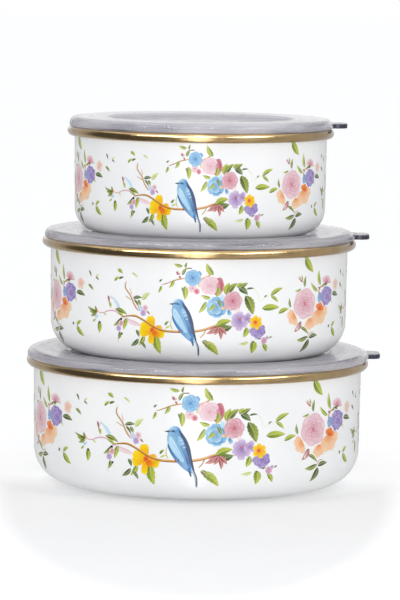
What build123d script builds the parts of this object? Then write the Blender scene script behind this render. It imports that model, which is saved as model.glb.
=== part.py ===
from build123d import *
from dataclasses import dataclass
import math
import os

# A stacked set of round enamelled bowls with clear lids, in millimetres.
# The origin is the centre of the large bowl's base and +Z is up. Each bowl stands in the
# recess of the lid below it, and each lid's finger tab points along +X.


@dataclass
class BowlSize:
    name: str
    wall_radius: float  # outside of the wall, just under the rim
    rim_radius: float  # outside of the rim band
    rim_height: float  # from the bowl's base to the centre of its rolled rim
    corner_radius: float  # outside, between base and wall
    lid_radius: float
    lid_top: float  # top of the lid above the centre of the rolled rim
    tab_reach: float  # finger tab, past the lid's edge


# The set, from the bottom of the stack to its top
BOWL_SET = [
    BowlSize(
        name="large",
        wall_radius=90.3,
        rim_radius=94.1,
        rim_height=66.5,
        corner_radius=19.0,
        lid_radius=93.7,
        lid_top=6.8,
        tab_reach=6.8,
    ),
    BowlSize(
        name="medium",
        wall_radius=81.7,
        rim_radius=86.2,
        rim_height=60.0,
        corner_radius=17.0,
        lid_radius=84.9,
        lid_top=7.0,
        tab_reach=8.5,
    ),
    BowlSize(
        name="small",
        wall_radius=69.3,
        rim_radius=73.1,
        rim_height=55.0,
        corner_radius=13.0,
        lid_radius=72.0,
        lid_top=7.8,
        tab_reach=8.2,
    ),
]

# Bowls: enamelled sheet steel with a rolled rim
WALL_THICKNESS = 1.2
WALL_DRAFT = 0.8  # degrees
ROLL_RADIUS = 2.25

# Rim bands: sheet metal crimped round the rolled rim
BAND_THICKNESS = 0.4
BAND_RADIUS = ROLL_RADIUS + BAND_THICKNESS
BAND_TO_WALL = 0.05

# Lids: heights are measured from the centre of the rolled rim below
LID_THICKNESS = 1.4
RECESS_FLOOR = 5.4
RECESS_SLOPE = 2.6  # width of the slope round the recess
RECESS_ROOM = 0.6  # between the recess and the corner of the bowl that stands in it
TOP_RECESS_RADIUS = 49.0  # on the lid that carries no bowl
SHOULDER_RADIUS = 3.4
INNER_SHOULDER_RADIUS = 1.3
SKIRT_GAP = 0.4  # between the skirt's slanting lower edge and the rim band
CHANNEL_WIDTH = 2.0  # between the skirt and the ring that rests on the rim
PLUG_DEPTH = 4.0
PLUG_THICKNESS = 1.2
PLUG_CLEARANCE = 0.4

# Finger tabs
TAB_WIDTH = 18.0
TAB_BOTTOM = 3.1
TAB_THICKNESS = 2.7
TAB_CORNER = 4.5
TAB_FLARE = 3.5  # radius where the tab's sides run into the lid's edge
TAB_EDGE = 0.7  # rounding of the tab's upper and lower edges
TAB_ROOT = 2.0  # depth, from the lid's outer face, of the strip of lid that the tab grows out of
TAB_INSET = 0.6  # how far that strip stays inside the lid's outer face

# Gap left between pieces that can be lifted apart
REST_GAP = 0.3

BOWL_SEAT = RECESS_FLOOR + REST_GAP


def base_heights():
    """Height of each bowl's base in the stack."""
    heights = [0.0]
    for size in BOWL_SET[:-1]:
        heights.append(heights[-1] + size.rim_height + BOWL_SEAT)
    return heights


def draft_inset(height):
    """How far the tapered wall comes in over a height."""
    return height * math.tan(math.radians(WALL_DRAFT))


def make_bowl(size, base):
    """Pressed bowl: flat base, rounded corner, slightly tapered wall and rolled rim."""
    rim_z = base + size.rim_height
    inset = draft_inset(size.rim_height)
    with BuildPart() as bowl:
        with BuildSketch(Plane.XZ):
            with BuildLine():
                FilletPolyline(
                    (0, base),
                    (size.wall_radius - inset, base),
                    (size.wall_radius, rim_z),
                    (size.wall_radius - WALL_THICKNESS, rim_z),
                    (size.wall_radius - WALL_THICKNESS - inset, base + WALL_THICKNESS),
                    (0, base + WALL_THICKNESS),
                    radius=[0, size.corner_radius, 0, 0, size.corner_radius - WALL_THICKNESS, 0],
                    close=True,
                )
            make_face()
            with Locations((size.rim_radius - BAND_RADIUS, rim_z)):
                Circle(ROLL_RADIUS)
        revolve(axis=Axis.Z)
    return bowl


def make_rim_band(size, base):
    """Thin metal band that covers the rolled rim down to the wall's outer face."""
    rim_z = base + size.rim_height
    roll_centre = size.rim_radius - BAND_RADIUS
    wall_face = size.wall_radius + BAND_TO_WALL
    with BuildPart() as rim_band:
        with BuildSketch(Plane.XZ):
            with Locations((roll_centre, rim_z)):
                Circle(BAND_RADIUS)
                Circle(ROLL_RADIUS, mode=Mode.SUBTRACT)
            with Locations((wall_face, rim_z)):
                Rectangle(
                    2 * BAND_RADIUS,
                    2 * BAND_RADIUS,
                    align=(Align.MAX, Align.MAX),
                    mode=Mode.SUBTRACT,
                )
        revolve(axis=Axis.Z)
    return rim_band


def seat_radius(size, depth):
    """Radius of a bowl's rounded corner at the height of the edge of the recess it stands in."""
    corner = size.corner_radius
    flat = size.wall_radius - draft_inset(size.rim_height) - corner
    return flat + math.sqrt(corner**2 - (corner - depth) ** 2)


def height_over_band(size, radius, gap):
    """Height above the rim's centre of a point at a radius that stands a gap off the rim band."""
    across = radius - (size.rim_radius - BAND_RADIUS)
    return math.sqrt((BAND_RADIUS + gap) ** 2 - across**2)


def make_tab(size, base):
    """Finger tab, with a short strip of the lid's edge that it grows out of."""
    edge = size.lid_radius
    strip_width = TAB_WIDTH + 2 * TAB_FLARE + 2 * LID_THICKNESS
    with BuildPart() as tab:
        with BuildSketch(Plane.XY.offset(base + size.rim_height + TAB_BOTTOM)) as outline:
            Circle(edge - TAB_INSET)
            with Locations((edge, 0)):
                Rectangle(2 * size.tab_reach, TAB_WIDTH)
            fillet(outline.vertices().group_by(Axis.X)[-1], TAB_CORNER)
            fillet(outline.vertices().group_by(Axis.X)[0], TAB_FLARE)
            Circle(edge - TAB_ROOT, mode=Mode.SUBTRACT)
            with Locations((edge, 0)):
                Rectangle(4 * size.tab_reach, strip_width, mode=Mode.INTERSECT)
        extrude(amount=TAB_THICKNESS)
        tips = tab.faces().filter_by(Axis.Z).edges().filter_by(Axis.Y)
        fillet(tips.group_by(Axis.X)[-1], TAB_EDGE)
    return tab


def make_lid(size, base, recess_radius):
    """Clear moulded lid: recessed top, rounded edge, seat ring, plug ring and finger tab."""
    rim_z = base + size.rim_height
    wall_face = size.wall_radius - WALL_THICKNESS - draft_inset(PLUG_DEPTH)
    mouth = min(size.rim_radius - 2 * BAND_RADIUS, wall_face)
    plug = mouth - PLUG_CLEARANCE
    edge = size.lid_radius
    slope_end = recess_radius + RECESS_SLOPE
    ceiling = size.lid_top - LID_THICKNESS
    skirt = edge - LID_THICKNESS
    seat = min(size.rim_radius - BAND_RADIUS, skirt - CHANNEL_WIDTH)
    seat_bottom = height_over_band(size, seat, REST_GAP)
    outline = [  # radius, height and rounding of each corner
        # top, from the middle out to the lid's edge
        (0, RECESS_FLOOR, 0),
        (recess_radius, RECESS_FLOOR, 1.8),
        (slope_end, size.lid_top, 1.6),
        (edge, size.lid_top, SHOULDER_RADIUS),
        (edge, height_over_band(size, edge, SKIRT_GAP), 0.4),
        # underside, from the skirt back to the middle
        (skirt, height_over_band(size, skirt, SKIRT_GAP), 0.4),
        (skirt, ceiling, INNER_SHOULDER_RADIUS),
        (seat, ceiling, 0.5),
        (seat, seat_bottom, 0.3),
        (plug, seat_bottom, 0.4),
        (plug, -PLUG_DEPTH, 0.5),
        (plug - PLUG_THICKNESS, -PLUG_DEPTH, 0.5),
        (plug - PLUG_THICKNESS, ceiling, 1.0),
        (slope_end, ceiling, 1.8),
        (recess_radius, RECESS_FLOOR - LID_THICKNESS, 1.6),
        (0, RECESS_FLOOR - LID_THICKNESS, 0),
    ]
    tab = make_tab(size, base)
    with BuildPart() as lid:
        with BuildSketch(Plane.XZ):
            with BuildLine():
                FilletPolyline(
                    *[(radius, rim_z + height) for radius, height, _ in outline],
                    radius=[rounding for _, _, rounding in outline],
                    close=True,
                )
            make_face()
        revolve(axis=Axis.Z)
        add(tab.part)
    return lid


def recess_radii():
    """Radius of each lid's recess floor: the bowl above fits in it with a little room."""
    radii = []
    for below, above in zip(BOWL_SET, BOWL_SET[1:]):
        radii.append(seat_radius(above, below.lid_top - RECESS_FLOOR) + RECESS_ROOM)
    return radii + [TOP_RECESS_RADIUS]


os.makedirs("parts", exist_ok=True)

for size, base, recess_radius in zip(BOWL_SET, base_heights(), recess_radii()):
    bowl = make_bowl(size, base)
    bowl.part.label = f"{size.name}_bowl"
    export_step(bowl.part, f"parts/{size.name}_bowl.step")

    rim_band = make_rim_band(size, base)
    rim_band.part.label = f"{size.name}_rim_band"
    export_step(rim_band.part, f"parts/{size.name}_rim_band.step")

    lid = make_lid(size, base, recess_radius)
    lid.part.label = f"{size.name}_lid"
    export_step(lid.part, f"parts/{size.name}_lid.step")
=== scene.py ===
import bpy
import math
import random
from dataclasses import dataclass
from math import radians
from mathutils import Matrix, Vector
from mathutils.geometry import delaunay_2d_cdt


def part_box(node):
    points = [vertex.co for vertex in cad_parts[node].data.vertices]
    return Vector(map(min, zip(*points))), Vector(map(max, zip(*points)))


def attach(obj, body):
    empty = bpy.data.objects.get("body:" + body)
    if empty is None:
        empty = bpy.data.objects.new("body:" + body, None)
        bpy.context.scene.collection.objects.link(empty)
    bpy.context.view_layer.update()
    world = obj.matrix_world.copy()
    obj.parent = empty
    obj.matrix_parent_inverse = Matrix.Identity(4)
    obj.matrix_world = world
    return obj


# Three enamelled bowls with clear lids, stacked in a white studio. Lengths are in metres, except in
# the print and where a name or comment says millimetres.

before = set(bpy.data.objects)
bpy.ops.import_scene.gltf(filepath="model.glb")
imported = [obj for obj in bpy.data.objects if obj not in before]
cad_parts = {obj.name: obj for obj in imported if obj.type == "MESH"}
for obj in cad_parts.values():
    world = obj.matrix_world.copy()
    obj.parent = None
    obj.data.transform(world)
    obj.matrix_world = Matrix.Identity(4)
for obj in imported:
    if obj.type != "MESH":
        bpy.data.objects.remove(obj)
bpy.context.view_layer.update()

MM = 0.001


# ---- node helpers

def new_material(name):
    material = bpy.data.materials.new(name)
    material.use_nodes = True
    tree = material.node_tree
    shader = tree.nodes["Principled BSDF"]
    return material, tree, shader


def feed(tree, socket, value):
    """Sets a node's input to a number or colour, or links it to another node's output."""
    if isinstance(value, bpy.types.NodeSocket):
        tree.links.new(value, socket)
    else:
        socket.default_value = value


def add_node(tree, kind, **inputs):
    """A shader node with its named inputs fed."""
    node = tree.nodes.new(kind)
    for name, value in inputs.items():
        feed(tree, node.inputs[name.replace("_", " ")], value)
    return node


def maths(tree, operation, *values, kind="ShaderNodeMath", output="Value"):
    """What a math node makes of its inputs."""
    node = tree.nodes.new(kind)
    node.operation = operation
    for socket, value in zip(node.inputs, values):
        feed(tree, socket, value)
    return node.outputs[output]


def vector_maths(tree, operation, *values, output="Value"):
    return maths(tree, operation, *values, kind="ShaderNodeVectorMath", output=output)


def object_place(tree):
    return tree.nodes.new("ShaderNodeTexCoord").outputs["Object"]


def split(tree, vector):
    """The X, Y and Z of a vector."""
    node = add_node(tree, "ShaderNodeSeparateXYZ", Vector=vector)
    return [node.outputs[axis] for axis in "XYZ"]


def scaled(tree, vector, scale):
    return add_node(tree, "ShaderNodeMapping", Vector=vector, Scale=scale).outputs["Vector"]


def noise(tree, scale, detail=4.0, roughness=0.5, stretch=(1, 1, 1)):
    """A noise texture in object space; scale is in features per metre."""
    place = scaled(tree, object_place(tree), stretch)
    settings = {"Scale": scale, "Detail": detail, "Roughness": roughness}
    return add_node(tree, "ShaderNodeTexNoise", Vector=place, **settings).outputs["Fac"]


def ramp(tree, source, stops):
    """A colour ramp over a source; stops are (position, colour)."""
    node = add_node(tree, "ShaderNodeValToRGB", Fac=source)
    elements = node.color_ramp.elements
    elements[0].position, elements[0].color = stops[0][0], (*stops[0][1], 1)
    elements[1].position, elements[1].color = stops[-1][0], (*stops[-1][1], 1)
    for position, colour in stops[1:-1]:
        elements.new(position).color = (*colour, 1)
    return node.outputs["Color"]


def levels(tree, source, stops):
    """A ramp from number to number; stops are (position, level)."""
    return ramp(tree, source, [(position, (level,) * 3) for position, level in stops])


def mix_colours(tree, factor, first, second, blend="MIX"):
    node = tree.nodes.new("ShaderNodeMix")
    node.data_type, node.blend_type = "RGBA", blend
    feed(tree, node.inputs["Factor"], factor)
    for socket, colour in zip([socket for socket in node.inputs if socket.type == "RGBA"], (first, second)):
        feed(tree, socket, colour)
    return [socket for socket in node.outputs if socket.type == "RGBA"][0]


def bump(tree, shader, source, strength, distance):
    node = add_node(tree, "ShaderNodeBump", Height=source, Strength=strength, Distance=distance)
    tree.links.new(node.outputs["Normal"], shader.inputs["Normal"])


# ---- materials

GLAZE_ROUGHNESS = 0.16


def enamel_material():
    """White vitreous enamel: faint cool and warm mottling under a slightly wavy glaze."""
    material, tree, shader = new_material("white_enamel")
    mottle = noise(tree, scale=26.0, detail=5.0, roughness=0.55)
    tint = ramp(tree, mottle, [
        (0.30, (0.820, 0.830, 0.840)),
        (0.50, (0.860, 0.865, 0.868)),
        (0.70, (0.885, 0.885, 0.885)),
    ])
    tree.links.new(tint, shader.inputs["Base Color"])
    shader.inputs["Roughness"].default_value = GLAZE_ROUGHNESS
    bump(tree, shader, noise(tree, scale=120.0, detail=2.0), strength=0.12, distance=0.0002)
    return material


def print_material():
    """Pigments of the print: each point's own colour, a little uneven, under the same glaze."""
    material, tree, shader = new_material("fired_print")
    pigments = tree.nodes.new("ShaderNodeVertexColor")
    pigments.layer_name = PIGMENT_LAYER
    grain = noise(tree, scale=900.0, detail=3.0, roughness=0.6)
    wash = ramp(tree, grain, [(0.3, (0.88, 0.88, 0.89)), (0.7, (1.0, 1.0, 1.0))])
    uneven = mix_colours(tree, 1.0, pigments.outputs["Color"], wash, blend="MULTIPLY")
    tree.links.new(uneven, shader.inputs["Base Color"])
    shader.inputs["Roughness"].default_value = GLAZE_ROUGHNESS
    return material


def gold_material():
    """Gold coloured rim metal: polished and lacquered, with fine lengthwise marks and slight tarnish."""
    material, tree, shader = new_material("gold_rim")
    tarnish = noise(tree, scale=60.0, detail=5.0, roughness=0.6)
    tint = ramp(tree, tarnish, [
        (0.30, (0.43, 0.285, 0.125)),
        (0.55, (0.52, 0.360, 0.165)),
        (0.75, (0.59, 0.430, 0.215)),
    ])
    tree.links.new(tint, shader.inputs["Base Color"])
    shader.inputs["Metallic"].default_value = 1.0
    shader.inputs["Coat Weight"].default_value = 0.9
    shader.inputs["Coat Roughness"].default_value = 0.12
    wear = noise(tree, scale=220.0, detail=3.0)
    tree.links.new(levels(tree, wear, [(0.35, 0.14), (0.70, 0.26)]), shader.inputs["Roughness"])
    marks = noise(tree, scale=260.0, detail=2.0, stretch=(1, 1, 9))
    bump(tree, shader, marks, strength=0.2, distance=0.0001)
    return material


LID_EDGES = {"large": 93.7, "medium": 84.9, "small": 72.0}  # radii in millimetres
TAB_ROOM = 0.0001
UPRIGHT = 0.6  # upward part of the normal under which a face counts as upright
PAINTED_SHADE_LINE_HEIGHT = 0.0014  # height of the painted shade line round the foot of the skirt
PAINTED_SHADE_LINE_DEPTH = 0.0006  # how far in from the lid's edge that line reaches
RINGS_PER_METRE = 240.0
STREAK_TURNS = 1.5  # how much the streaks change round a lid
LID_HAZE = 0.30  # share of the lid that is haze and not clear, seen square on
# painted shade: the colour of the tab's sides and the skirt's foot, where clear plastic looks dark edge-on
PAINTED_EDGE_SHADE = (0.03, 0.03, 0.055, 1)


def painted_tab_shade_mask(tree, size):
    """1 on the upright faces of a lid's finger tab, which are given painted shade, and 0 elsewhere."""
    place = tree.nodes.new("ShaderNodeTexCoord")
    reach = split(tree, place.outputs["Object"])[0]
    rise = split(tree, place.outputs["Normal"])[2]
    past_edge = maths(tree, "GREATER_THAN", reach, LID_EDGES[size] * MM + TAB_ROOM)
    upright = maths(tree, "LESS_THAN", rise, UPRIGHT)
    return maths(tree, "MULTIPLY", past_edge, upright)


def painted_skirt_shade_mask(tree, size):
    """1 round the foot of a lid's outer face, where the dark gap behind the clear plastic is painted on as
    shade.
    """
    place = object_place(tree)
    above = maths(tree, "SUBTRACT", split(tree, place)[2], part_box(f"{size}_rim_band")[1][2])
    foot = levels(tree, above, [(0.0, 1), (PAINTED_SHADE_LINE_HEIGHT, 1), (1.6 * PAINTED_SHADE_LINE_HEIGHT, 0)])
    reach = vector_maths(tree, "LENGTH", scaled(tree, place, (1, 1, 0)))
    outer = maths(tree, "GREATER_THAN", reach, LID_EDGES[size] * MM - PAINTED_SHADE_LINE_DEPTH)
    return maths(tree, "MULTIPLY", foot, outer)


def ring_streaks(tree):
    """Noise drawn out round the Z axis: fine across a lid and down its edge, and long round it."""
    place = object_place(tree)
    flat = scaled(tree, place, (1, 1, 0))
    outward = maths(tree, "SUBTRACT", vector_maths(tree, "LENGTH", flat), split(tree, place)[2])
    rings = maths(tree, "MULTIPLY", outward, RINGS_PER_METRE)
    lifted = add_node(tree, "ShaderNodeCombineXYZ", Z=rings).outputs["Vector"]
    unit = vector_maths(tree, "NORMALIZE", flat, output="Vector")
    spot = vector_maths(tree, "MULTIPLY_ADD", unit, (STREAK_TURNS,) * 3, lifted, output="Vector")
    settings = {"Scale": 1.0, "Detail": 3.0, "Roughness": 0.55}
    return add_node(tree, "ShaderNodeTexNoise", Vector=spot, **settings).outputs["Fac"]


def lid_material(size):
    """Clear plastic: lavender haze in long streaks whose darker ones are painted reflections, glossy at a
    slant, with painted shade in its edges.
    """
    material, tree, shader = new_material(f"clear_lid_{size}")
    streaks = ring_streaks(tree)
    # lavender haze of the plastic; its dark grey streaks are painted reflections of dark surroundings
    haze_and_painted_streaks = ramp(tree, streaks, [
        (0.34, (0.44, 0.44, 0.50)),
        (0.41, (0.70, 0.69, 0.75)),
        (0.49, (0.86, 0.85, 0.90)),
        (0.66, (0.96, 0.955, 0.97)),
    ])
    # painted shade line round the skirt's foot, broken up by the streaks
    painted_shade_breaks = levels(tree, streaks, [(0.40, 0.95), (0.62, 0.30)])
    foot = maths(tree, "MULTIPLY", painted_skirt_shade_mask(tree, size), painted_shade_breaks)
    # where painted shade stands in for the dark of the plastic's edges
    dark = maths(tree, "MAXIMUM", painted_tab_shade_mask(tree, size), foot)
    tree.links.new(mix_colours(tree, dark, haze_and_painted_streaks, PAINTED_EDGE_SHADE), shader.inputs["Base Color"])
    shader.inputs["Roughness"].default_value = 0.05
    shader.inputs["IOR"].default_value = 1.49
    bump(tree, shader, streaks, strength=0.35, distance=0.0006)

    slant = add_node(tree, "ShaderNodeLayerWeight", Blend=0.5).outputs["Facing"]
    cover = levels(tree, slant, [(0.0, LID_HAZE), (0.7, LID_HAZE + 0.05), (1.0, 0.9)])
    clear = add_node(tree, "ShaderNodeBsdfTransparent", Color=(0.95, 0.945, 0.96, 1))
    mix = add_node(tree, "ShaderNodeMixShader", Fac=maths(tree, "MAXIMUM", cover, dark))
    tree.links.new(clear.outputs["BSDF"], mix.inputs[1])
    tree.links.new(shader.outputs["BSDF"], mix.inputs[2])
    tree.links.new(mix.outputs["Shader"], tree.nodes["Material Output"].inputs["Surface"])
    return material


# painted shadow: the floor glows least near the bowls, as if they shaded it
FLOOR_GLOW_WITH_PAINTED_SHADOW = [  # distance from the middle of the floor, and how strongly it glows there
    (0.070, 0.02),
    (0.092, 0.20),
    (0.110, 0.275),
    (0.200, 0.29),
    (0.340, 0.335),
    (0.800, 0.41),
]
FULL_GLOW = 0.41
BACK_START, BACK_FULL = -0.125, 0.010  # how far back the floor starts to glow, and glows fully
# the dimmer oval below is a painted shadow pool
SHADOW_POOL_DEPTH = 0.3  # width over depth of the dimmer oval that the bowls stand in
SHADOW_POOL_EDGE = 0.078, 0.112  # half the width of that oval, where it ends and where the glow is full
RAMP_SCALE = 4.0  # a ramp runs from 0 to 1, so the floor's Y is scaled and moved into it
RAMP_MIDDLE = 0.5


def floor_material():
    """White light table with no gloss: it glows, and least in a pool around and before the bowls, which is a
    painted shadow.
    """
    material, tree, shader = new_material("studio_floor")
    grain = noise(tree, scale=30.0, detail=2.0)
    tint = ramp(tree, grain, [(0.3, (0.745, 0.745, 0.75)), (0.7, (0.765, 0.765, 0.765))])
    tree.links.new(tint, shader.inputs["Base Color"])
    place = object_place(tree)
    glow = levels(tree, vector_maths(tree, "LENGTH", place), FLOOR_GLOW_WITH_PAINTED_SHADOW)
    back = levels(tree, maths(tree, "MULTIPLY_ADD", split(tree, place)[1], RAMP_SCALE, RAMP_MIDDLE), [
        (BACK_START * RAMP_SCALE + RAMP_MIDDLE, 0),
        (BACK_FULL * RAMP_SCALE + RAMP_MIDDLE, FULL_GLOW),
    ])
    across = vector_maths(tree, "LENGTH", scaled(tree, place, (1, SHADOW_POOL_DEPTH, 0)))
    side = levels(tree, across, [(SHADOW_POOL_EDGE[0], 0), (SHADOW_POOL_EDGE[1], FULL_GLOW)])
    # the glow is weakest in the painted shadow round and before the bowls
    glow_with_painted_shadow = maths(tree, "MAXIMUM", glow, maths(tree, "MAXIMUM", back, side))
    tree.links.new(glow_with_painted_shadow, shader.inputs["Emission Strength"])
    shader.inputs["Emission Color"].default_value = (1.0, 1.0, 1.0, 1)
    shader.inputs["Specular IOR Level"].default_value = 0.0
    return material


def paint(node, material):
    """Gives a CAD node a material."""
    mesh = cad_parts[node].data
    mesh.materials.clear()
    mesh.materials.append(material)


def paint_cad_nodes():
    enamel, gold = enamel_material(), gold_material()
    for size in WALLS:
        paint(f"{size}_bowl", enamel)
        paint(f"{size}_rim_band", gold)
        paint(f"{size}_lid", lid_material(size))


# ---- the print
#
# Flowers, leaves and a small bird, fired on the enamel. The drawing is flat, in millimetres: u runs
# along the large bowl's wall and v up from its base. What is drawn later covers what is under it.

DEGREE = math.radians(90.3)  # millimetres along the wall for one degree round the large bowl
GLAZE_SHINE = 0.03  # white that the gloss adds to every colour, so pigments are that much darker
LATTICE = 1.1  # spacing of the points that carry a colour's change inside a shape
SMALLEST = 1e-4  # distance under which two points of the drawing are one
STEPS = 4  # points between two given points of a curve
GOLDEN_ANGLE = math.radians(137.5)


def xy(x, y):
    """A place in the drawing, in millimetres."""
    return Vector((x, y))


def at(turn, height):
    """A place in the drawing: degrees round from the front of the bowl, and height."""
    return xy(turn * DEGREE, height)


def pigment(red, green, blue):
    """Linear colour of a pigment from the display colour that it shows under the glaze."""
    channels = []
    for value in (red, green, blue):
        value /= 255
        linear = ((value + 0.055) / 1.055) ** 2.4 if value > 0.04 else value / 12.92
        channels.append(max(linear - GLAZE_SHINE, 0.003))
    return Vector(channels)


WHITE = pigment(246, 246, 246)
INK = pigment(45, 50, 80)
FRESH = pigment(200, 208, 92), pigment(112, 140, 52)
OLIVE = pigment(168, 180, 86), pigment(80, 97, 52)
DEEP = pigment(136, 152, 96), pigment(70, 84, 60)
PALE = pigment(226, 230, 168), pigment(186, 200, 110)
MAROON = pigment(214, 150, 140), pigment(150, 78, 84)
BARK = pigment(226, 168, 78), pigment(120, 84, 48)
PINK = pigment(246, 226, 230), pigment(206, 118, 140)
RED_PINK = pigment(242, 196, 204), pigment(190, 66, 92)
BLUE = pigment(176, 220, 244), pigment(62, 128, 190)
LILAC = pigment(226, 208, 234), pigment(164, 132, 190)
PURPLE = pigment(202, 184, 226), pigment(108, 88, 164)
YELLOW = pigment(255, 224, 40), pigment(244, 160, 12)
PEACH = pigment(252, 220, 186), pigment(240, 150, 84)
ORANGE = pigment(246, 150, 78), pigment(220, 84, 34)


def heading(angle):
    """Unit vector at an angle in the drawing."""
    return Vector((math.cos(angle), math.sin(angle)))


def sideways(direction):
    return Vector((-direction.y, direction.x)).normalized()


def curve_through(points, closed=False):
    """Smooth curve through the given points (Catmull-Rom)."""
    count = len(points)
    curve = []
    for i in range(count if closed else count - 1):
        if closed:
            a, b, c, d = (points[(i + k) % count] for k in (-1, 0, 1, 2))
        else:
            a, b = points[max(i - 1, 0)], points[i]
            c, d = points[i + 1], points[min(i + 2, count - 1)]
        for step in range(STEPS):
            t = step / STEPS
            curve.append(0.5 * (2 * b + (c - a) * t + (2 * a - 5 * b + 4 * c - d) * t**2
                                + (3 * b - 3 * c + d - a) * t**3))
    return curve if closed else curve + [points[-1]]


def fade(start, end, first, last):
    """Shade that runs from one colour at start to another at end."""
    way = end - start

    def shade(point):
        share = (point - start).dot(way) / way.length_squared
        return first.lerp(last, min(max(share, 0), 1))
    return shade


def glow(centre, radius, inner, outer):
    """Shade that runs from one colour at the centre to another at a radius."""
    def shade(point):
        return inner.lerp(outer, min((point - centre).length / radius, 1) ** 1.5)
    return shade


class Drawing:
    """Filled outlines, each with a shade: a function from a point to a colour."""

    def __init__(self):
        self.shapes = []

    def fill(self, outline, shade):
        area = sum(a.x * b.y - b.x * a.y for a, b in zip(outline, outline[1:] + outline[:1]))
        self.shapes.append((outline if area > 0 else outline[::-1], shade))

    def stroke(self, points, start_width, end_width, first, last=None):
        """Tapered line along a smooth curve, in one colour or from one to another."""
        line = curve_through(points)
        left, right = [], []
        for i, point in enumerate(line):
            across = sideways(line[min(i + 1, len(line) - 1)] - line[max(i - 1, 0)])
            share = i / (len(line) - 1)
            round_end = min(1, 0.2 + 6 * share, 0.2 + 6 * (1 - share))
            half = 0.5 * round_end * (start_width + (end_width - start_width) * share)
            left.append(point + half * across)
            right.append(point - half * across)
        self.fill(left + right[::-1], fade(points[0], points[-1], first, last or first))

    def disc(self, centre, width, height, shade, turn=0.0, count=14):
        long, short = heading(turn), sideways(heading(turn))
        outline = []
        for i in range(count):
            angle = 2 * math.pi * i / count
            outline.append(centre + 0.5 * (width * math.cos(angle) * long
                                           + height * math.sin(angle) * short))
        self.fill(outline, shade)

    def leaf(self, base, tip, width, tones, bend=0.08, teeth=0, veins=3):
        """Leaf with a lit and a shaded half, a pale midrib and side veins."""
        light, dark = tones
        middle = light.lerp(dark, 0.45)
        along = tip - base
        across = sideways(along)

        def spot(t, side):
            half = 0.5 * width * math.sin(math.pi * t**0.8) ** 0.85
            if teeth:
                half *= 1 - 0.22 * (t * teeth % 1)
            sag = bend * along.length * 4 * t * (1 - t)
            return base + t * along + (sag + side * half) * across

        count = max(8, 4 * teeth)
        shares = [i / count for i in range(count + 1)]
        for side, root, rim in ((1, middle, light), (-1, dark, middle)):
            rib = [spot(t, 0) for t in shares]
            edge = [spot(t, side) for t in shares[-2:0:-1]]
            self.fill(rib + edge, fade(spot(0.15, 0), spot(0.8, side), root, rim))
        if width > 1.6:
            for i in range(veins):
                t = 0.2 + 0.5 * i / veins
                for side, tone in ((1, middle), (-1, dark.lerp(light, 0.15))):
                    ends = spot(t, 0), spot(t + 0.16, 0.72 * side)
                    self.stroke(ends, 0.28, 0.1, tone)
            self.stroke([spot(0.04, 0), spot(0.45, 0), spot(0.9, 0)], 0.4, 0.12, light.lerp(WHITE, 0.25))

    def leaves(self, rows):
        """Leaves from rows: the base's and the tip's turn and height, the width, the tones and options."""
        for base_turn, base_height, tip_turn, tip_height, width, tones, *options in rows:
            base, tip = at(base_turn, base_height), at(tip_turn, tip_height)
            self.leaf(base, tip, width, tones, **(options[0] if options else {}))

    def petal(self, root, angle, length, width, inner, outer, notch=0.06, ribs=2):
        """Rounded petal, widest near its outer end, with fine ribs from its root."""
        out, across = heading(angle), sideways(heading(angle))
        outline = []
        count = 16 if length > 2.5 else 10
        for i in range(count):
            turn = 2 * math.pi * i / count
            reach = (1 - math.cos(turn)) / 2
            dent = notch * math.exp(-(((turn - math.pi) / 0.35) ** 2))
            half = 0.5 * width * math.sin(turn) * (0.55 + 0.55 * reach)
            outline.append(root + length * (reach - dent) * out + half * across)
        tip = root + length * out
        self.fill(outline, fade(root, tip, inner, outer))
        for i in range(ribs):
            side = (i + 0.5) / ribs - 0.5
            mark = root + 0.72 * length * out + side * 0.8 * width * across
            self.stroke([root + 0.2 * length * out, mark], 0.12, 0.3, inner.lerp(outer, 0.35))

    def blossom(self, centre, radius, tones, eye, petals=5, turn=0.0, width=1.1):
        """Open flower of equal petals with a round eye."""
        outer, inner = tones
        for i in range(petals):
            angle = turn + 2 * math.pi * i / petals
            tint = 0.18 * (i % 2)
            self.petal(centre, angle, radius, width * radius, inner, outer.lerp(inner, tint),
                       ribs=2 if radius > 2 else 0)
        self.disc(centre, 0.34 * radius, 0.34 * radius, glow(centre, 0.2 * radius, eye, inner), count=8)

    def rose(self, centre, radius, tones, turn=0.0, lean=1.0):
        """Full rose: rings of petals, pale at the lips and deep at the roots, smallest on top."""
        lip, heart = tones
        rings = (6, 0.60, 0.46), (6, 0.44, 0.38), (5, 0.29, 0.31), (4, 0.16, 0.23), (3, 0.06, 0.15)
        self.disc(centre, 1.9 * radius, 1.9 * radius * lean, glow(centre, radius, heart, lip))
        for ring, (count, reach, size) in enumerate(rings):
            for i in range(count):
                angle = turn + 0.55 * ring + 2 * math.pi * i / count
                out = heading(angle)
                place = centre + Vector((out.x, out.y * lean)) * reach * radius
                edge, root = place + size * radius * out, place - 0.75 * size * radius * out
                depth = 0.30 + 0.13 * ring + 0.1 * (i % 2)
                shade = fade(root, edge, lip.lerp(heart, min(depth + 0.5, 1)),
                             lip.lerp(heart, 0.05 * ring + 0.08 * (i % 2)))
                self.disc(place, 2 * size * radius, 2.5 * size * radius, shade, turn=angle)
                arc = [edge + radius * (-0.10 * k**2 * out + 0.55 * size * k * sideways(out))
                       for k in (-1.6, -0.8, 0, 0.8, 1.6)]
                self.stroke([p - 0.05 * radius * out for p in arc], 0.25, 0.5,
                            lip.lerp(heart, 0.7 + 0.08 * ring), lip.lerp(heart, 0.4 + 0.1 * ring))
        self.stroke([centre + 0.12 * radius * (1 - 0.2 * k) * heading(turn + 1.3 * k) for k in range(5)],
                    0.4, 0.2, heart)

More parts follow.
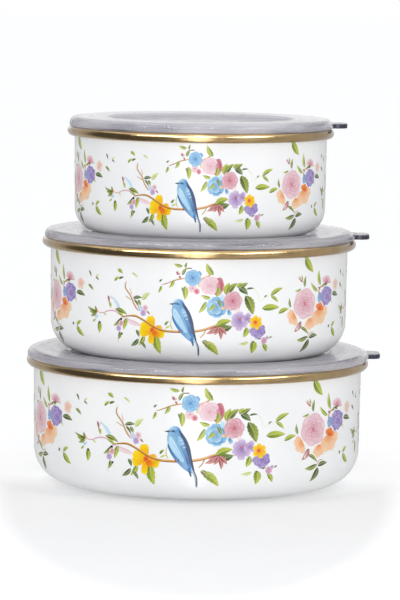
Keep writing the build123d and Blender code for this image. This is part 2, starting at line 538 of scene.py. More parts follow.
    def hydrangea(self, centre, width, height, tones, seed, count=16, floret=1.5):
        """Round head of small four-petalled flowers."""
        light, dark = tones
        chance = random.Random(seed)
        self.disc(centre, width, height, glow(centre, 0.5 * width, dark, dark.lerp(light, 0.5)))
        for i in reversed(range(count)):
            reach = 0.5 * math.sqrt((i + 0.3) / count)
            spread = heading(i * GOLDEN_ANGLE)
            place = centre + Vector((spread.x * width, spread.y * height)) * reach * 0.9
            tint = chance.uniform(0, 0.7)
            self.blossom(place, floret * chance.uniform(0.85, 1.1),
                         (light.lerp(dark, tint * 0.6), dark.lerp(light, 0.4 * (1 - tint))),
                         light.lerp(WHITE, 0.6), petals=4, turn=chance.uniform(0, 2), width=1.25)


def draw_left_sprigs(art):
    """Loose leaves and buds at the left of the panel."""
    art.disc(at(-55.3, 23), 1.6, 1.9, glow(at(-55.3, 23), 1, DEEP[1], DEEP[0]))
    art.leaves([
        (-53, 22.4, -50, 25.2, 2.0, FRESH), (-53, 22, -48.6, 16.4, 3.2, FRESH, {"bend": -0.06}),
        (-45.6, 55, -44.3, 51.5, 1.2, DEEP), (-42, 51, -40.3, 53.4, 1.0, PALE),
        (-42, 51.4, -40.3, 49.8, 0.9, DEEP), (-46, 47, -43.3, 43.8, 1.7, OLIVE),
        (-31.6, 57.2, -29.3, 54.8, 2.0, FRESH), (-33, 50.2, -30.8, 52.8, 1.6, FRESH),
        (-31, 51.6, -28.8, 52.8, 1.3, DEEP), (-25.5, 55.6, -23, 52.8, 1.1, PALE),
    ])


def draw_long_twig(art):
    """Thin pink twig with its leaves, running left from the main branch."""
    twig = at(-41, 31.2), at(-38, 31.4), at(-36, 32.6), at(-33, 33), at(-29.5, 31)
    art.stroke(twig, 0.5, 0.9, PINK[1].lerp(PINK[0], 0.5))
    for turn, height, width in ((-46.4, 34.2, 1.8), (-45.2, 31.6, 2.0), (-44.6, 28.8, 1.9), (-42.2, 35, 1.6)):
        art.leaf(at(-41.2, 31.6), at(turn, height), width, OLIVE)
    art.stroke([at(-41.5, 32.4), at(-40.4, 31.6)], 0.9, 0.5, ORANGE[0])
    art.leaf(at(-38, 31), at(-36.4, 29.6), 0.9, PALE)
    art.petal(at(-40.6, 29.6), radians(215), 2.6, 1.8, BLUE[0], BLUE[0].lerp(WHITE, 0.4))
    art.petal(at(-41.6, 27.6), radians(120), 1.9, 1.3, BLUE[0], BLUE[0].lerp(WHITE, 0.2))
    art.leaf(at(-42, 27.4), at(-43.6, 25.6), 1.1, FRESH)
    art.leaf(at(-40, 26.2), at(-40.1, 19.4), 3.2, FRESH, bend=0.03)
    art.disc(at(-40, 25.6), 2.0, 1.5, glow(at(-40, 25.6), 1.2, DEEP[1], DEEP[0]))
    art.leaf(at(-36, 41.6), at(-35.4, 37.2), 1.4, MAROON)
    art.leaf(at(-35.3, 38), at(-34.6, 34.4), 1.7, FRESH)
    art.leaf(at(-30.2, 32.6), at(-35.2, 41.6), 1.9, (BLUE[0].lerp(WHITE, 0.5), BLUE[0]), bend=-0.1)
    art.petal(at(-34.8, 40), radians(50), 2.1, 1.6, BLUE[0], WHITE)


def draw_bark(art, points, start_width, end_width):
    """Branch: a dark underside with golden bark over it."""
    light, dark = BARK
    low = [point - Vector((0, 0.22 * start_width)) for point in points]
    art.stroke(low, start_width, end_width, dark, light.lerp(dark, 0.6))
    high = [point + Vector((0, 0.12 * start_width)) for point in points]
    art.stroke(high, 0.62 * start_width, 0.62 * end_width, light, light.lerp(WHITE, 0.15))


def draw_branches(art):
    draw_bark(art, [at(-27.8, 50.8), at(-28.2, 47), at(-26, 42.6), at(-24.6, 38), at(-22.8, 34)], 0.6, 1.0)
    draw_bark(art, [at(-25.6, 43), at(-26.2, 47.2)], 0.4, 0.2)
    draw_bark(art, [at(-28.2, 42.2), at(-25.6, 40)], 0.3, 0.5)
    draw_bark(art, [at(3, 25), at(2.2, 22), at(0.8, 19.6)], 0.8, 0.4)
    draw_bark(art, [at(-13.6, 49.4), at(-10.6, 51.2), at(-8, 52.8), at(-4.6, 53.8)], 0.4, 0.8)
    draw_bark(art, [at(0.6, 53.2), at(3, 54.8), at(5.2, 56.8)], 0.9, 0.5)


def draw_main_branch(art):
    """Branch that the bird sits on; it runs over the yellow flower."""
    draw_bark(art, [at(-29.8, 30), at(-26, 31), at(-23.4, 30.8), at(-20, 28.4), at(-16.5, 25.4),
                    at(-12.6, 23.4), at(-8, 23), at(-3, 23.2), at(2, 24.4), at(6.6, 26.8), at(9.6, 27.6)],
              0.9, 1.5)


def draw_twig_leaves(art):
    """Leaves and tiny flowers where the branch and its upper twig meet."""
    art.leaves([
        (-25, 41, -21.2, 41.6, 1.9, DEEP), (-21.2, 40.2, -18.2, 44.8, 2.6, PALE),
        (-23, 40.2, -21.8, 36.8, 1.7, OLIVE), (-24.6, 40.4, -22.6, 36, 1.2, DEEP),
    ])
    art.leaf(at(-21.6, 25.6), at(-30.2, 30.2), 2.6, (PINK[0], PINK[0].lerp(PINK[1], 0.35)), bend=0.03)
    art.leaves([
        (-32.6, 34.2, -27.4, 31.4, 2.4, OLIVE), (-31.6, 32.4, -28.8, 29.8, 1.8, FRESH),
        (-29.6, 29.4, -33.4, 24.4, 2.2, OLIVE), (-27.4, 29.4, -28.8, 22.4, 2.7, FRESH, {"bend": -0.05}),
        (-30.4, 21.4, -31.2, 16.8, 2.2, OLIVE),
    ])
    art.stroke([at(-31.4, 18), at(-31.6, 14.8)], 0.4, 0.15, PALE[1])
    art.disc(at(-30, 28.6), 1.7, 1.4, glow(at(-30, 28.6), 1, INK, DEEP[1]))
    art.disc(at(-29.6, 20.2), 1.1, 1.4, glow(at(-29.6, 20.2), 0.8, INK, DEEP[1]))
    art.blossom(at(-29.9, 26.2), 1.9, PINK, LILAC[0], turn=0.4)
    art.blossom(at(-31, 23.2), 1.9, LILAC, PINK[0], turn=1.0)
    art.blossom(at(-22, 35.2), 1.7, (BLUE[0], LILAC[0]), WHITE, turn=0.2)
    art.blossom(at(-20, 35.8), 1.9, (PINK[0], RED_PINK[1].lerp(PINK[0], 0.45)), MAROON[1], turn=0.9)
    art.blossom(at(-20.8, 32.8), 2.0, LILAC, PINK[0], turn=0.5)
    art.leaf(at(-19.4, 34), at(-18.2, 32), 1.0, MAROON)


def draw_yellow_flower(art):
    """Large yellow flower with orange roots, and the leaves under it."""
    art.leaves([
        (-23.6, 23, -22.4, 18.8, 2.0, DEEP), (-22.6, 17.8, -26.2, 13.4, 2.4, DEEP),
        (-20.2, 20, -22.8, 14, 2.7, FRESH), (-21.8, 16.4, -20.2, 12, 1.8, DEEP),
        (-15.8, 20.6, -14.6, 9.4, 5.4, FRESH, {"teeth": 5, "bend": -0.04}),
        (-17, 17.8, -17.6, 14.6, 1.6, PALE), (-12.4, 26.4, -10.8, 28.8, 1.4, OLIVE),
        (-12.2, 24.6, -9.8, 26, 1.2, PALE),
    ])
    art.stroke([at(-9.8, 31), at(-10.2, 27), at(-9.4, 24)], 0.3, 0.6, PALE[1])
    light, deep = YELLOW
    root = at(-17.2, 23.4)
    art.petal(root, radians(262), 8.6, 4.2, deep, light)
    art.petal(root, radians(196), 8.4, 6.4, deep, light, ribs=3)
    art.petal(root, radians(340), 8.2, 6.2, ORANGE[1], light, ribs=3)
    art.petal(root, radians(12), 6.4, 4.6, ORANGE[0], light.lerp(deep, 0.4), ribs=3)
    art.petal(root, radians(100), 8.4, 6.0, deep, light, ribs=3)
    art.petal(root, radians(160), 8.2, 5.6, deep.lerp(light, 0.4), light, ribs=3)
    art.petal(root, radians(310), 5.0, 4.0, ORANGE[1], deep, ribs=2)
    art.blossom(root, 1.7, ORANGE, MAROON[1], turn=0.3)


def draw_bird(art):
    """Small blue songbird on the branch, facing left. Its points are in millimetres."""
    def through(*points):
        return curve_through([Vector(point) for point in points], closed=True)

    body = through((-14.9, 38.6), (-13.8, 40.6), (-11.6, 41.6), (-9.2, 40.8), (-7.6, 38.2), (-5.2, 34.6),
                   (-3.4, 30), (-2.4, 25), (-1.2, 19.5), (-1.6, 17), (-4.4, 17.4), (-7.2, 20.4),
                   (-10.4, 23.8), (-13, 27.2), (-14.8, 31), (-15.6, 34.6), (-15.3, 37))
    sky, navy = BLUE[0].lerp(BLUE[1], 0.15), BLUE[1].lerp(INK, 0.15)
    art.fill(body, fade(xy(-15.4, 31), xy(-4, 35), sky, navy))
    belly = through((-14.2, 36), (-12.2, 34.4), (-10.2, 31), (-8.2, 27), (-6.4, 23.4), (-7.6, 22.4),
                    (-10.2, 24.8), (-12.6, 27.8), (-14.3, 31.4))
    art.fill(belly, fade(xy(-11, 35), xy(-8, 23), WHITE.lerp(BLUE[0], 0.7), sky))
    flank = through((-15.2, 32.4), (-14.2, 30.8), (-12.4, 27.8), (-9.6, 24.4), (-6.6, 21), (-4.6, 17.6),
                    (-7.4, 19.6), (-10.8, 23), (-13.4, 26.6), (-15, 30))
    shadow, side = BLUE[1].lerp(INK, 0.2), BLUE[1].lerp(BLUE[0], 0.35)
    art.fill(flank, fade(xy(-14.6, 30), xy(-5.6, 19), shadow, side))
    for spot in range(7):
        start = xy(-13.6 + 1.0 * spot, 34.4 - 1.5 * spot)
        art.stroke([start, start + xy(0.7, -1.7)], 0.35, 0.1, BLUE[0].lerp(BLUE[1], 0.35))

    under_tail = xy(-4.0, 19.6), xy(-3, 16.6), xy(-2.6, 14.6)
    tail = xy(-2.6, 19.6), xy(0.0, 14.2), xy(0.3, 8.4)
    art.stroke(under_tail, 2.0, 0.5, BLUE[1], INK)
    art.stroke(tail, 1.9, 0.5, BLUE[0].lerp(WHITE, 0.3), INK.lerp(BLUE[1], 0.3))
    art.stroke([point + xy(0.5, 0) for point in tail], 0.7, 0.25, INK)

    back = through((-9.2, 39.6), (-7.2, 37.6), (-5, 34.4), (-3.2, 30), (-2.2, 25), (-1, 19.4), (-0.4, 16.4),
                   (-1.8, 19), (-3.8, 23.6), (-5, 28.4), (-6.6, 33), (-8.4, 36.6))
    art.fill(back, fade(xy(-8, 38), xy(-1, 18), INK.lerp(BLUE[1], 0.25), INK))
    wing = through((-9.6, 36.2), (-7.8, 35.6), (-6, 31.8), (-4.8, 27.4), (-3.4, 22.4), (-2.2, 18),
                   (-4.8, 21.4), (-6.6, 25.4), (-8.4, 29.4), (-9.8, 33.2))
    art.fill(wing, fade(xy(-9, 36), xy(-3, 20), BLUE[0].lerp(BLUE[1], 0.3), BLUE[1]))
    for feather in range(4):
        shift = xy(0.9 * feather, 0.5 * feather)
        start, end = xy(-8.6, 31.6) + shift, xy(-4.2, 20.8) + 0.55 * shift
        art.stroke([start, (start + end) / 2 + xy(0.3, 0.4), end], 0.3, 0.5, INK.lerp(BLUE[1], 0.45))
    for bar in range(3):
        place = xy(-8.9 + 0.9 * bar, 33.8 - 1.9 * bar)
        art.stroke([place, place + xy(1.6, 0.6)], 0.5, 0.2, BLUE[0].lerp(WHITE, 0.5))

    crown = through((-14.2, 39.9), (-12.6, 41.2), (-10.4, 41.3), (-8.8, 39.8), (-9.8, 39), (-12, 39.8))
    art.fill(crown, fade(xy(-13, 41), xy(-9, 39), BLUE[0], BLUE[1]))
    stripe = xy(-14.9, 38.7), xy(-13, 38.9), xy(-10.8, 38.4)
    art.stroke(stripe, 0.3, 0.6, INK.lerp(BLUE[1], 0.4))
    beak = xy(-14.6, 39.3), xy(-17.2, 38.7), xy(-14.8, 38.1)
    art.fill(list(beak), fade(xy(-15, 39), xy(-17, 38), INK, DEEP[1]))
    art.disc(xy(-12.5, 39), 1.1, 1.1, glow(xy(-12.5, 39), 1, INK * 0.3, INK), count=12)
    art.disc(xy(-12.7, 39.2), 0.34, 0.34, glow(xy(-12.7, 39.2), 1, WHITE, WHITE), count=8)
    for foot in (-10.8, -9.2):
        art.stroke([xy(foot, 24.4), xy(foot - 0.2, 23)], 0.45, 0.35, MAROON[1])
        for toe in (-0.7, 0.0, 0.7):
            art.stroke([xy(foot - 0.2, 23.3), xy(foot - 0.2 + toe, 22.6)], 0.35, 0.2, MAROON[1])


def draw_blue_rose(art):
    """Spray round a blue rose at the top."""
    art.leaves([
        (-5.8, 60.4, -9.2, 61.8, 1.9, FRESH), (-4.9, 59.6, -4.3, 62.8, 1.3, OLIVE),
        (-6, 55.2, -4.2, 59.8, 1.9, OLIVE),
    ])
    art.stroke([at(-4.6, 59.2), at(-2.4, 59.4)], 0.4, 0.7, BARK[1])
    art.leaves([
        (-14.6, 51.2, -13.4, 52.6, 1.0, DEEP), (-13.8, 49, -15, 44.8, 1.5, FRESH),
        (-9, 52.6, -10.9, 47.8, 1.9, FRESH), (-5, 49.2, -4.9, 41.2, 3.3, FRESH, {"bend": 0.04}),
        (-6.2, 48.4, -5.2, 44, 1.4, OLIVE), (-7.2, 54.8, -6.6, 53.2, 1.2, MAROON),
    ])
    art.petal(at(-7.6, 55.4), radians(110), 2.3, 1.9, MAROON[1], PINK[1].lerp(PINK[0], 0.4))
    art.petal(at(-7.4, 55.2), radians(60), 1.9, 1.5, MAROON[0], PINK[0])
    art.blossom(at(-2.2, 48), 2.9, (PINK[0], PINK[0].lerp(PINK[1], 0.5)), RED_PINK[1], turn=0.3)
    art.blossom(at(-0.6, 46.2), 1.9, RED_PINK, MAROON[1], turn=1.1)
    art.blossom(at(1, 52.4), 1.8, (LILAC[0], MAROON[0]), MAROON[1], turn=0.2)
    art.leaf(at(0.2, 52.2), at(0.1, 48), 1.8, PALE)
    art.petal(at(-0.8, 55), radians(40), 3.6, 3.4, BLUE[1], BLUE[0].lerp(BLUE[1], 0.5))
    art.rose(at(-2.1, 53.9), 4.5, BLUE, turn=0.4)
    art.leaf(at(5.4, 55.6), at(2.8, 62.4), 3.6, FRESH, teeth=4)


def draw_middle_bouquet(art):
    """Roses, a blue flower, lilac flowers and leaves right of the bird."""
    art.leaves([
        (3, 40.6, 0.1, 33.8, 2.7, FRESH), (4.6, 42.4, 0.9, 44.2, 2.2, FRESH),
        (10, 44.6, 11.6, 51.4, 3.6, FRESH, {"teeth": 4}),
        (10.4, 44.4, 14.4, 51, 3.8, OLIVE, {"teeth": 4}), (14.4, 48.4, 16.2, 51.2, 2.3, FRESH),
        (15, 48.2, 18.6, 44.4, 3.6, DEEP, {"teeth": 4}), (15.6, 48, 18.6, 51, 2.4, OLIVE),
        (18, 47.4, 21.2, 47.8, 1.1, DEEP),
    ])
    art.stroke([at(21, 47.6), at(22.8, 44.6), at(22.8, 40)], 0.35, 0.15, PALE[0])
    art.leaves([
        (17.8, 43.8, 20.8, 32.8, 6.0, OLIVE, {"teeth": 6, "bend": 0.06}),
        (6.6, 26.2, 12.4, 29.6, 4.2, FRESH, {"teeth": 4}),
        (8.2, 25.6, 12.8, 26.2, 4.2, DEEP, {"teeth": 5, "bend": -0.1}),
    ])
    fan = (3, 22, 2.5), (3.6, 24.8, 2.3), (8.6, 18.6, 2.6), (10.6, 21.4, 2.5), (6, 21.2, 2.0)
    for turn, height, width in fan:
        art.leaf(at(7.8, 26), at(turn, height), width, MAROON)
    art.leaf(at(18.6, 25.6), at(17.2, 19.8), 3.6, FRESH, teeth=3)
    for angle in (-48, -22, 4, 30):
        art.petal(at(5, 49.6), radians(angle), 7.4, 5.0, RED_PINK[1], RED_PINK[1].lerp(PINK[0], 0.3), ribs=3)
    art.rose(at(4.2, 49.7), 5.7, (PINK[0], PINK[1].lerp(PINK[0], 0.35)), turn=0.9, lean=0.8)
    for angle in (-30, 0, 28):
        art.petal(at(6.4, 49.4), radians(angle), 4.0, 2.6, PINK[0].lerp(PINK[1], 0.5), RED_PINK[1], ribs=1)
    art.leaf(at(7.6, 49.2), at(6.6, 43), 2.6, FRESH)
    art.blossom(at(6.8, 37.2), 6.4, BLUE, PALE[0], petals=6, turn=0.6, width=1.0)
    art.blossom(at(6.4, 37), 4.2, (BLUE[0].lerp(WHITE, 0.2), BLUE[1].lerp(BLUE[0], 0.3)), FRESH[0],
                turn=0.2)
    art.stroke([at(5.4, 33.4), at(7.2, 32.4), at(9.2, 34)], 0.35, 0.5, BLUE[1])
    art.stroke([at(7.2, 40.6), at(8.6, 40.8), at(9.6, 38.4)], 0.5, 0.3, BLUE[1].lerp(INK, 0.4))
    art.leaf(at(6, 39), at(3.8, 35.2), 2.0, FRESH)
    art.leaf(at(7, 41.6), at(8.6, 36.8), 1.7, OLIVE)
    art.petal(at(8.6, 40.6), radians(80), 4.2, 3.0, BLUE[0], WHITE.lerp(BLUE[0], 0.4))
    art.petal(at(10.6, 37.4), radians(200), 3.2, 2.0, ORANGE[0], PEACH[0])
    art.petal(at(11, 35.6), radians(300), 3.6, 2.8, BLUE[1], BLUE[0])
    art.rose(at(12.9, 40.8), 5.4, (PINK[0].lerp(PINK[1], 0.2), RED_PINK[1].lerp(PINK[1], 0.5)), turn=0.1)
    art.petal(at(14.6, 33.2), radians(75), 3.4, 3.0, PINK[0], WHITE.lerp(PINK[0], 0.4))
    deep_lilac = LILAC[1].lerp(INK, 0.12)
    for angle, length in ((20, 6.2), (325, 5.6), (262, 6.4), (205, 6.0), (150, 5.8), (95, 5.4)):
        art.petal(at(15.8, 29.6), radians(angle), length, 5.0, deep_lilac, LILAC[0], ribs=3)
    for angle, length in ((60, 3.8), (330, 4.2), (200, 3.4)):
        art.petal(at(18.4, 30.6), radians(angle), length, 3.6, deep_lilac, LILAC[0], ribs=2)
    art.stroke([at(14.8, 30), at(16.2, 31.2)], 0.5, 0.3, ORANGE[1])
    art.hydrangea(at(22.9, 23.2), 9.6, 7.6, PURPLE, seed=3, count=18)
    for angle in (35, 95, 150, 215, 285, 340):
        art.petal(at(22, 28.2), radians(angle), 4.3, 3.2, YELLOW[1], YELLOW[0])
    art.blossom(at(21.8, 28.4), 1.3, ORANGE, ORANGE[1])
    art.leaf(at(2, 17.4), at(8, 9.4), 4.8, FRESH, teeth=5)
    art.leaf(at(3, 16.8), at(6.4, 14.8), 2.2, FRESH)
    art.leaf(at(1.6, 18), at(4.2, 14.8), 2.8, (OLIVE[0], MAROON[1].lerp(DEEP[1], 0.5)))
    art.leaf(at(19.4, 17), at(15.4, 16), 1.9, PALE)
    art.leaf(at(21, 17.8), at(21.4, 10), 4.8, FRESH, teeth=5)
    art.disc(at(21, 17), 1.8, 1.2, glow(at(21, 17), 1, DEEP[1], OLIVE[0]))
    art.leaf(at(23, 18.4), at(24.6, 19.2), 0.9, DEEP)
    art.blossom(at(25.6, 17.6), 2.2, (LILAC[0], PINK[1]), PINK[0], turn=0.6)
    art.blossom(at(26.8, 19.2), 1.3, (PINK[0], LILAC[1]), PINK[0])
    art.leaf(at(27.6, 19), at(29, 19.8), 0.9, OLIVE)
    art.leaf(at(25.2, 15.8), at(27.6, 10.8), 2.8, FRESH, teeth=3)


def draw_right_sprigs(art):
    """Loose leaves between the two bouquets."""
    art.leaves([
        (25.2, 42.6, 26.4, 43.8, 0.8, DEEP), (27.8, 43.4, 33.2, 47.6, 2.6, FRESH),
        (28, 43.2, 31.2, 39.4, 2.0, FRESH),
    ])
    art.stroke([at(27.2, 43.4), at(25, 42), at(23, 39.8)], 0.25, 0.15, PALE[0])
    art.leaves([
        (24.4, 36.2, 31.8, 36.6, 3.8, FRESH, {"bend": 0.03}), (37, 35.8, 36.4, 41.6, 1.7, OLIVE),
        (31.4, 33, 36.2, 35.4, 2.6, FRESH), (42, 46.4, 38.8, 45.2, 1.2, FRESH),
        (43.8, 47.2, 44.4, 53.8, 2.0, OLIVE), (42.6, 51.4, 42.2, 54.6, 1.1, FRESH),
    ])
    art.petal(at(41.6, 51.6), radians(130), 2.7, 2.0, PINK[1], PINK[0])
    art.leaves([
        (42.8, 50.4, 41, 52.4, 1.1, MAROON), (43.8, 64.4, 48.4, 55.6, 4.8, FRESH, {"bend": -0.04}),
        (51.4, 44.2, 47.2, 49.6, 2.2, FRESH), (53, 47.4, 51.8, 56.6, 2.6, FRESH),
    ])


def draw_ruffle(art, root, angles, length, tones):
    """Fan of ruffled petals in two layers, the shorter one on top."""
    light, deep = tones
    for reach, inner in ((1.0, deep.lerp(light, 0.45)), (0.62, deep)):
        for i, angle in enumerate(angles):
            tip = light.lerp(deep, 0.16 * (i % 2) + 0.25 * (1 - reach))
            art.petal(root, radians(angle), reach * length * (1 - 0.1 * (i % 2)), 0.62 * reach * length,
                      inner, tip, notch=0.1, ribs=3)


def draw_right_bouquet(art):
    """Large pale rose with peach flowers, a purple flower head and their leaves."""
    art.leaves([
        (61.8, 41.6, 67.2, 40, 2.9, DEEP), (54.6, 34.6, 58.6, 30.6, 1.7, PALE),
        (56, 37.6, 58.8, 35.6, 1.9, OLIVE), (60.4, 38.6, 62, 36, 1.3, PALE),
    ])
    for tip in (at(54, 46.6), at(57.6, 47), at(60.8, 48.2)):
        art.leaf(at(55.4, 48), tip, 1.6, OLIVE)
    draw_bark(art, [at(55, 47.4), at(52.6, 46), at(52, 42.4)], 0.7, 0.9)
    art.leaf(at(51.6, 46.6), at(53, 44.8), 1.1, MAROON)
    for angle, length in ((150, 5.4), (115, 4.6), (80, 4.4), (45, 4.8), (15, 5.2)):
        art.petal(at(57.2, 48.8), radians(angle), length, 3.6, PINK[1], PINK[0])
    for angle in (20, 90, 150, 215, 290):
        art.petal(at(64.8, 46.8), radians(angle), 3.6, 3.2,
                  PEACH[0].lerp(PINK[1], 0.35), PEACH[0].lerp(PINK[0], 0.5))
    art.hydrangea(at(57.4, 41), 12.4, 10.6, PURPLE, seed=5, count=30, floret=1.6)
    art.hydrangea(at(53, 40.6), 4.8, 5.2, (BLUE[0], PURPLE[1]), seed=9, count=8, floret=1.2)
    draw_ruffle(art, at(52.4, 33.4), (350, 325, 300, 275, 250, 225), 10.0, PEACH)
    draw_ruffle(art, at(52.8, 33.2), (15, 45, 75, 105, 135), 4.8, ORANGE)
    draw_ruffle(art, at(47, 29), (315, 290, 265, 240), 7.4, PEACH)
    draw_ruffle(art, at(39.2, 31.2), (275, 250, 225, 200, 175, 150), 6.4, PEACH)
    art.leaves([
        (41.8, 24.4, 46.6, 19.6, 1.9, OLIVE), (46.2, 18.4, 40.6, 16.8, 2.7, OLIVE),
        (46.8, 17.6, 51.8, 18.6, 2.7, DEEP), (47, 16.8, 44.8, 9, 4.2, DEEP),
    ])
    draw_bark(art, [at(45.8, 17), at(47.2, 20.4), at(49.4, 20.8)], 0.4, 0.3)
    art.leaf(at(42.4, 27.6), at(39, 21.6), 3.2, (MAROON[0], OLIVE[1]))
    art.petal(at(41.8, 26.6), radians(235), 5.0, 2.2, PINK[1], PINK[0])
    art.rose(at(44.2, 37.6), 8.9, PINK, turn=0.3, lean=0.94)


def draw_print():
    art = Drawing()
    for draw in (
        draw_left_sprigs, draw_long_twig, draw_branches, draw_twig_leaves, draw_yellow_flower,
        draw_main_branch, draw_bird, draw_blue_rose, draw_middle_bouquet, draw_right_sprigs,
        draw_right_bouquet,
    ):
        draw(art)
    return art


def lattice(art):
    """Points inside the shapes' boxes, on a staggered grid, that let the shades change inside them."""
    spots = set()
    for outline, _ in art.shapes:
        low_row = math.floor(min(p.y for p in outline) / LATTICE)
        high_row = math.ceil(max(p.y for p in outline) / LATTICE)
        for row in range(low_row, high_row + 1):
            shift = 0.5 * (row % 2)
            first = math.floor(min(p.x for p in outline) / LATTICE - shift)
            last = math.ceil(max(p.x for p in outline) / LATTICE - shift)
            spots.update((column + shift, row) for column in range(first, last + 1))
    return [Vector((column * LATTICE, row * LATTICE)) for column, row in sorted(spots)]


def flatten(art):
    """One layer of triangles from the overlapping shapes: their corners, and a colour for each corner."""
    points, outlines = [], []
    for outline, _ in art.shapes:
        outlines.append(list(range(len(points), len(points) + len(outline))))
        points.extend(outline)
    points.extend(lattice(art))
    inside_only = 1
    cut = delaunay_2d_cdt(points, [], outlines, inside_only, SMALLEST)
    spots, triangles, owners = cut[0], cut[2], cut[5]
    kept, colours = [], []
    for triangle, shapes in zip(triangles, owners):
        if shapes:
            shade = art.shapes[max(shapes)][1]
            kept.append(triangle)
            colours.extend(shade(spots[corner]) for corner in triangle)
    used = sorted({corner for triangle in kept for corner in triangle})
    new = {corner: i for i, corner in enumerate(used)}
    return [spots[corner] for corner in used], [[new[c] for c in triangle] for triangle in kept], colours


# ---- the print on the bowls

@dataclass
class Wall:
    """A bowl's outer wall in millimetres, as the CAD model has it, and how the print lies on it."""
    radius: float  # just under the rim
    rim_height: float  # from the base to the centre of the rolled rim
    corner: float  # rounding between base and wall
    spread: float  # degrees of wall for one degree of the drawing
    lift: float  # height on the wall of the drawing's lowest point
    tall: float  # height on the wall for one millimetre of the drawing


WALLS = {
    "large": Wall(radius=90.3, rim_height=66.5, corner=19.0, spread=1.0, lift=8.2, tall=1.0),
    "medium": Wall(radius=81.7, rim_height=60.0, corner=17.0, spread=1.01, lift=5.0, tall=0.93),
    "small": Wall(radius=69.3, rim_height=55.0, corner=13.0, spread=1.03, lift=4.4, tall=0.865),
}
DRAFT = math.radians(0.8)
LOWEST = 8.2  # lowest point of the drawing
PRINT_THICKNESS = 0.04
PANEL_TURNS = -115, 0, 115  # degrees of the drawing from one panel to the next
PIGMENT_LAYER = "pigment"


def wall_point(wall, height):
    """Radius and height of the print's surface where the wall is at a height above the base."""
    foot = wall.radius - wall.rim_height * math.tan(DRAFT)
    centre = foot + wall.corner * (math.tan(DRAFT) - 1 / math.cos(DRAFT))
    lean = math.asin(max(min((height - wall.corner) / wall.corner, math.sin(-DRAFT)), -1))
    if height >= wall.corner * (1 - math.sin(DRAFT)):
        radius, lean = foot + height * math.tan(DRAFT), -DRAFT
    else:
        radius = centre + wall.corner * math.cos(lean)
    return radius + PRINT_THICKNESS * math.cos(lean), height + PRINT_THICKNESS * math.sin(lean)


def lay_print(size, panel, turn, drawing, material):
    """One panel of the print as a film on a bowl's wall."""
    spots, triangles, colours = drawing
    wall = WALLS[size]
    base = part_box(f"{size}_bowl")[0][2]
    points = []
    for spot in spots:
        radius, height = wall_point(wall, wall.lift + (spot.y - LOWEST) * wall.tall)
        angle = math.radians((spot.x / DEGREE + turn) * wall.spread)
        points.append((radius * math.sin(angle) * MM, -radius * math.cos(angle) * MM, base + height * MM))
    mesh = bpy.data.meshes.new(f"{size}_print_{panel}")
    mesh.from_pydata(points, [], triangles)
    mesh.shade_smooth()
    layer = mesh.color_attributes.new(PIGMENT_LAYER, "FLOAT_COLOR", "CORNER")
    layer.data.foreach_set("color", [channel for colour in colours for channel in (*colour, 1.0)])
    mesh.materials.append(material)
    film = add_object(mesh.name, mesh)
    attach(film, f"{size}_bowl")


def print_bowls():
    drawing = flatten(draw_print())
    material = print_material()
    for size in WALLS:
        for panel, turn in enumerate(PANEL_TURNS, start=1):
            lay_print(size, panel, turn, drawing, material)


# ---- studio

CAMERA_DISTANCE = 2.02
CAMERA_HEIGHT = 0.299
AIM_HEIGHT = 0.100
CAMERA_SIDE = 0.0009
CAMERA_ROLL = math.radians(0.85)
LENS = 221.0
FLOOR_REACH = 12.0
FRONT_LIGHT_WIDTH, FRONT_LIGHT_HEIGHT, FRONT_LIGHT_POWER = 0.6, 0.5, 18
FRONT_LIGHT_PLACE = 2, 2.4, 0.27  # azimuth, distance and height
FILL_STRENGTH = 0.60
OVERHEAD_STRENGTH = 1.05
OVERHEAD = 0.60, 0.92  # sines of the elevations where the light from above starts and is full
SURROUND = [  # azimuth in degrees, and the brightness of the studio there as glossy things reflect it
    (-180, 0.56), (-125, 0.54), (-106, 0.10), (-60, 0.12),
    (-26, 0.30), (-16, 0.70), (-9, 2.80), (7, 2.80),
    (13, 0.60), (24, 0.50), (34, 0.84), (56, 0.76),
    (70, 0.40), (84, 0.66), (130, 0.52), (180, 0.56),
]
CEILING = (0.54, 0), (0.74, 1.2)  # sine of the elevation, and the ceiling's brightness there
BACK_WALL = (0.82, 0), (0.99, 0.95)  # how near straight behind a ray points, and the brightness there
BACK_WALL_AIM = 180, 5
LOW_BAND = (0.0, 0), (0.03, 1), (0.22, 1), (0.27, 0)  # sines between which the back wall shows
LAMPS = [(-52, 34), (-34, 40), (-22, 30), (4, 36), (38, 32), (60, 40)]  # azimuth and elevation
LAMP_EDGE = 0.982, 0.990  # how near its middle a lamp starts to shine and shines fully
LAMP_LEVEL = 9.0


def around(azimuth, distance, height):
    """A place round the bowls: azimuth 0 is in front, and positive is to the right."""
    angle = math.radians(azimuth)
    return Vector((distance * math.sin(angle), -distance * math.cos(angle), height))


def add_object(name, data):
    thing = bpy.data.objects.new(name, data)
    bpy.context.scene.collection.objects.link(thing)
    return thing


def make_camera():
    data = bpy.data.cameras.new("camera")
    data.sensor_width = 36.0
    data.lens = LENS
    camera = add_object("camera", data)
    camera.location = CAMERA_SIDE, -CAMERA_DISTANCE, CAMERA_HEIGHT
    aim = Vector((CAMERA_SIDE, 0.0, AIM_HEIGHT))
    camera.rotation_euler = (aim - camera.location).to_track_quat("-Z", "Y").to_euler()
    camera.rotation_euler.rotate_axis("Z", CAMERA_ROLL)
    bpy.context.scene.camera = camera


def make_front_light():
    """Soft light before the bowls; reflections show the studio's own bright front in its place."""
    data = bpy.data.lights.new("front_light", "AREA")
    data.shape = "RECTANGLE"
    data.size, data.size_y = FRONT_LIGHT_WIDTH, FRONT_LIGHT_HEIGHT
    data.energy = FRONT_LIGHT_POWER
    light = add_object("front_light", data)
    light.location = around(*FRONT_LIGHT_PLACE)
    way = Vector((0, 0, AIM_HEIGHT)) - light.location
    light.rotation_euler = way.to_track_quat("-Z", "Y").to_euler()
    light.visible_glossy = False


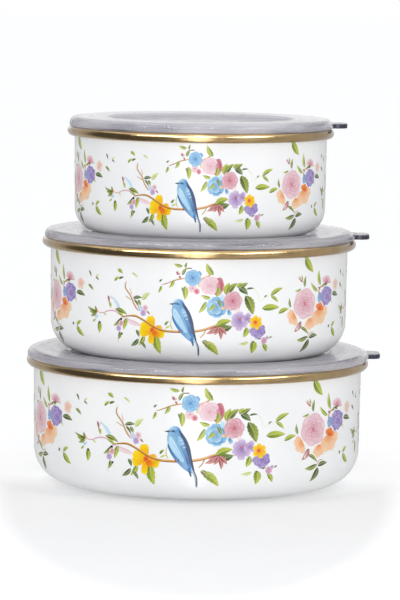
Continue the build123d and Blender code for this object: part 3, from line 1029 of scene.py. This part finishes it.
def make_floor():
    mesh = bpy.data.meshes.new("floor")
    corners = [(FLOOR_REACH * x, FLOOR_REACH * y, 0) for x, y in ((-1, -1), (1, -1), (1, 1), (-1, 1))]
    mesh.from_pydata(corners, [], [(0, 1, 2, 3)])
    mesh.materials.append(floor_material())
    floor = add_object("floor", mesh)
    floor.visible_glossy = False


def nearness(tree, ray, azimuth, elevation):
    """How nearly a ray points in a direction: 1 is exactly there, and 0 at right angles to it."""
    lie = around(azimuth, math.cos(math.radians(elevation)), math.sin(math.radians(elevation)))
    return vector_maths(tree, "DOT_PRODUCT", ray, lie)


def make_reflections(tree, ray):
    """What glossy surfaces see: a dim studio with a bright front, a lit ceiling and small windows."""
    x, y, rise = split(tree, ray)
    # from 0, behind the bowls by the left, through 0.5, in front, to 1
    turn = maths(tree, "ARCTAN2", x, maths(tree, "MULTIPLY", y, -1.0))
    azimuth = maths(tree, "MULTIPLY_ADD", turn, 0.5 / math.pi, 0.5)
    back_wall = levels(tree, nearness(tree, ray, *BACK_WALL_AIM), BACK_WALL)
    sources = [
        levels(tree, azimuth, [((degrees + 180) / 360, level) for degrees, level in SURROUND]),
        levels(tree, rise, CEILING),
        maths(tree, "MULTIPLY", back_wall, levels(tree, rise, LOW_BAND)),
    ]
    for lamp in LAMPS:
        near = nearness(tree, ray, *lamp)
        sources.append(levels(tree, near, [(LAMP_EDGE[0], 0), (LAMP_EDGE[1], LAMP_LEVEL)]))
    brightest = sources[0]
    for source in sources[1:]:
        brightest = maths(tree, "MAXIMUM", brightest, source)
    return brightest


def make_world():
    """White surroundings: full white to the camera, soft light, and a studio in reflections."""
    world = bpy.data.worlds.new("studio")
    world.use_nodes = True
    tree = world.node_tree
    backdrop = tree.nodes["Background"]
    backdrop.inputs["Color"].default_value = (1.0, 1.0, 1.0, 1)
    backdrop.inputs["Strength"].default_value = 1.0
    ray = tree.nodes.new("ShaderNodeTexCoord").outputs["Generated"]
    overhead = levels(tree, split(tree, ray)[2],
                      [(OVERHEAD[0], FILL_STRENGTH), (OVERHEAD[1], OVERHEAD_STRENGTH)])
    fill = add_node(tree, "ShaderNodeBackground", Color=(0.97, 0.98, 1.0, 1), Strength=overhead)
    mirrored = add_node(tree, "ShaderNodeBackground", Color=(1.0, 1.0, 1.0, 1),
                        Strength=make_reflections(tree, ray))
    kind = tree.nodes.new("ShaderNodeLightPath")
    shown = fill.outputs["Background"]
    for name, other in (("Is Glossy Ray", mirrored), ("Is Camera Ray", backdrop)):
        choice = add_node(tree, "ShaderNodeMixShader", Fac=kind.outputs[name])
        tree.links.new(shown, choice.inputs[1])
        tree.links.new(other.outputs["Background"], choice.inputs[2])
        shown = choice.outputs["Shader"]
    tree.links.new(shown, tree.nodes["World Output"].inputs["Surface"])
    bpy.context.scene.world = world


paint_cad_nodes()
print_bowls()
make_floor()
make_world()
make_camera()
make_front_light()
bpy.context.scene.view_settings.view_transform = "Standard"
